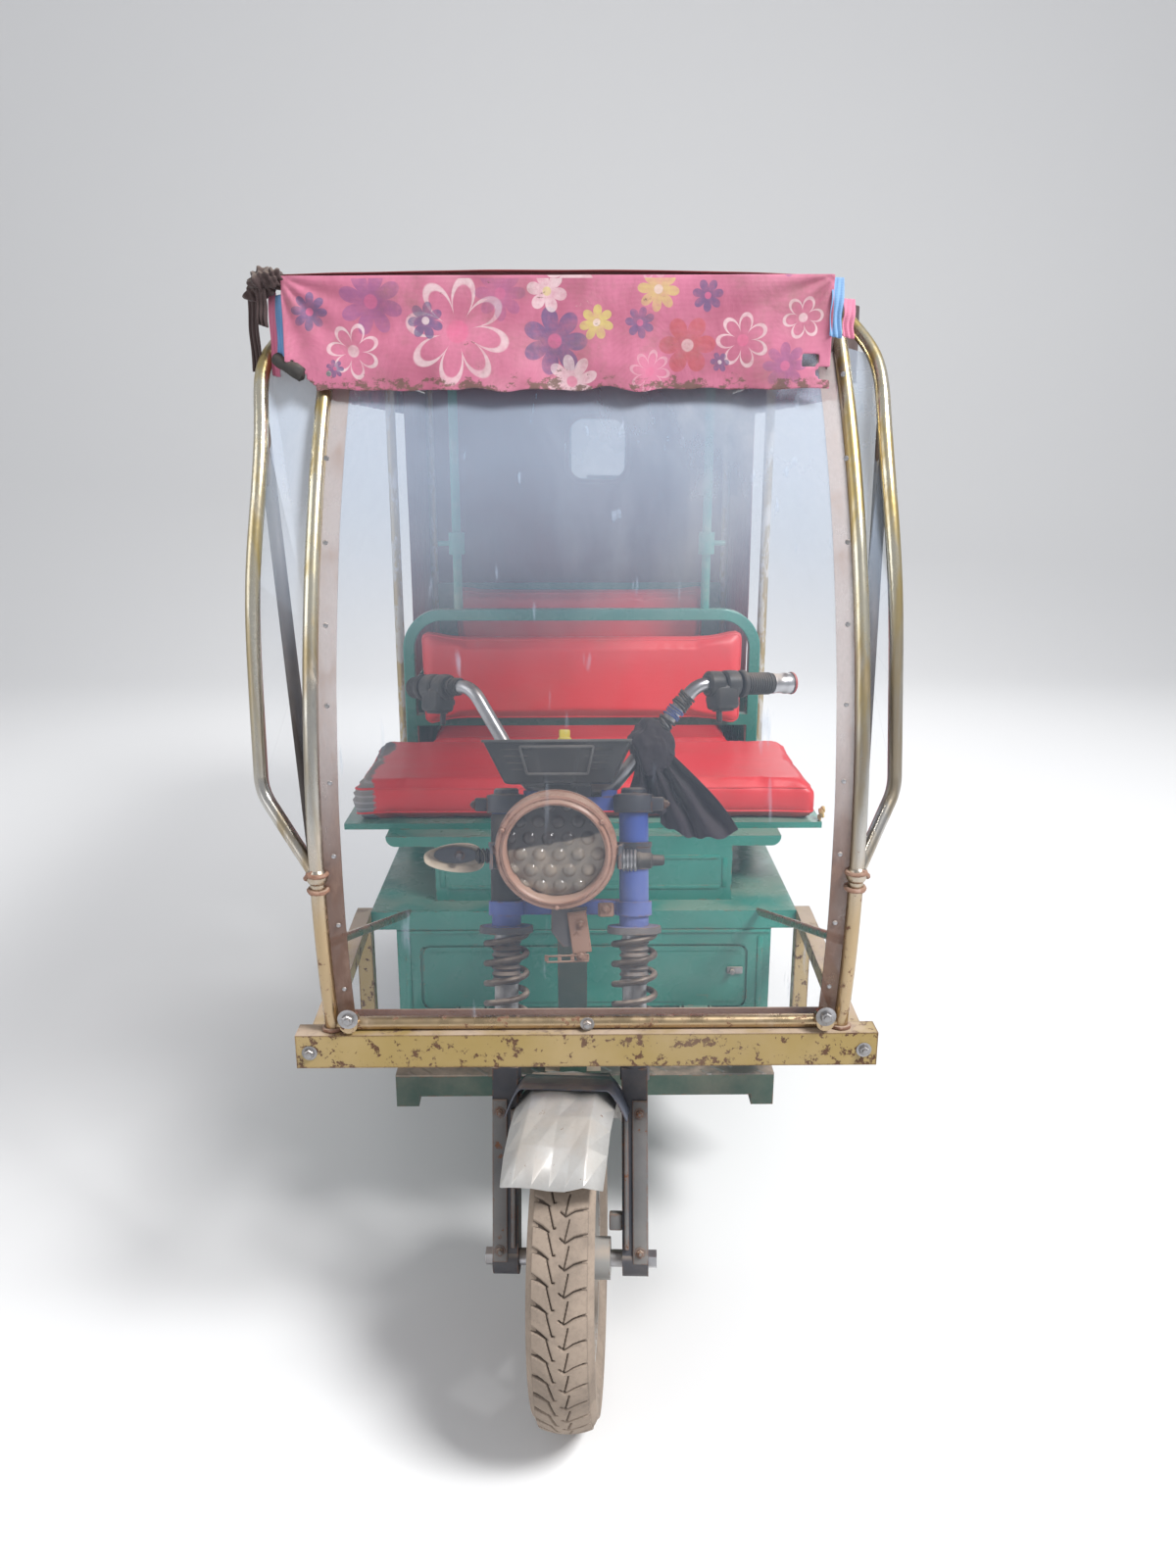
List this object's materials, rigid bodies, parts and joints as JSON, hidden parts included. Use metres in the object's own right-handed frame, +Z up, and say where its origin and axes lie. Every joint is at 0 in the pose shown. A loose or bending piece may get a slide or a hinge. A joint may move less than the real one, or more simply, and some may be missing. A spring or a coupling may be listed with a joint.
{
  "type": "auto rickshaw",
  "caption": "Open battery auto rickshaw with a sprung front fork, handlebar, bench seat for the driver, pipe-framed windscreen and a cloth-roofed passenger cabin over a live rear axle.",
  "frame": {"origin": "on the ground, at the middle of the bounding box", "axes": "+Z up, -Y to the front of the vehicle, +X to its left side"},
  "size_m": [0.984, 2.4075, 1.701],
  "materials": {
    "teal_paint": "brush-painted teal green, dusty, chipped to rust at edges",
    "yellow_paint": "yellow paint, specked dark and rusted",
    "pipe": "plated pipe gone brassy, rust spots low down",
    "fork_blue": "blue paint, worn",
    "dark_steel": "dark blue-grey paint, worn",
    "spring_steel": "dull spring steel, dusty",
    "zinc": "zinc-plated, dull",
    "mudguard": "silver-grey paint, crumpled and dusty",
    "tyre": "black rubber under pale road dust",
    "rim": "silver wheel paint, dusty",
    "grip": "worn rubber",
    "black_plastic": "moulded, sun-faded",
    "lamp_shell": "orange-pink paint, faded",
    "lens": "moulded clear lens, cloudy",
    "signal": "amber plastic in a dark housing",
    "rag": "knotted cotton rag, grimy",
    "red_vinyl": "red vinyl cover, matt",
    "clear_sheet": "clear vinyl sheet, hazy",
    "strip": "flat edging strip, dusty",
    "maroon_cloth": "coated cloth, maroon",
    "valance_cloth": "printed cotton, pink and navy, faded",
    "body_paint": "painted sheet, dusty",
    "frame_paint": "dark green paint, muddy",
    "floor": "bare chequered sheet, worn",
    "axle": "black paint, oily",
    "motor": "cast housing, dull",
    "lamp_red": "red lens"
  },
  "bodies": {
    "chassis": {"backrest_hoop": "teal_paint", "battery_box": "teal_paint", "bench_back_pad": "red_vinyl", "bench_box": "teal_paint", "bench_cushion": "red_vinyl", "canopy": "maroon_cloth", "driver_back_pad": "red_vinyl", "driver_cushion": "red_vinyl", "floor_plates": "floor", "frame_rails": "frame_paint", "front_beam": "yellow_paint", "leaf_springs": "spring_steel", "motor": "motor", "passenger_body": "body_paint", "rear_axle": "axle", "rear_bumper": "pipe", "rear_curtain": "maroon_cloth", "rear_mudguards": "body_paint", "rear_window": "clear_sheet", "roof_frame": "pipe", "roof_posts": "teal_paint", "seat_base": "teal_paint", "side_curtains": "maroon_cloth", "steering_head": "frame_paint", "tail_lamps": "lamp_red", "valances": "valance_cloth", "windscreen_frame": "pipe", "windscreen_sheets": "clear_sheet", "windscreen_strips": "strip"},
    "steering": {"bar_grips": "grip", "dash_housing": "black_plastic", "fork_legs": "dark_steel", "fork_springs": "spring_steel", "fork_tubes": "zinc", "fork_yokes": "fork_blue", "front_axle": "zinc", "front_mudguard": "mudguard", "handlebar": "zinc", "headlamp": "lamp_shell", "headlamp_lens": "lens", "lamp_and_horn_brackets": "dark_steel", "rag": "rag", "turn_signal": "signal"},
    "box_door": {"box_door": "teal_paint"},
    "front_wheel": {"front_rim": "rim", "front_tyre": "tyre"},
    "rear_wheel_left": {"rear_rim_left": "rim", "rear_tyre_left": "tyre"},
    "rear_wheel_right": {"rear_rim_right": "rim", "rear_tyre_right": "tyre"}
  },
  "joints": [
    {"name": "steer", "type": "hinge", "parent": "chassis", "child": "steering", "pos_m": [-0.022, -0.91626, 0.23184], "axis": [0, 0.2924, 0.9563], "range_deg": [-34, 42]},
    {"name": "front_roll", "type": "hinge", "parent": "steering", "child": "front_wheel", "pos_m": [-0.02514, -0.95919, 0.24497], "axis": [0.9976, -0.0667, 0.0204], "continuous": true},
    {"name": "rear_left_roll", "type": "hinge", "parent": "chassis", "child": "rear_wheel_left", "pos_m": [0.43, 0.8007, 0.245], "axis": [1, 0, 0], "continuous": true},
    {"name": "rear_right_roll", "type": "hinge", "parent": "chassis", "child": "rear_wheel_right", "pos_m": [-0.43, 0.8007, 0.245], "axis": [1, 0, 0], "continuous": true},
    {"name": "box_door_hinge", "type": "hinge", "parent": "chassis", "child": "box_door", "pos_m": [0, -0.4713, 0.425], "axis": [1, 0, 0], "range_deg": [0, 65]}
  ]
}
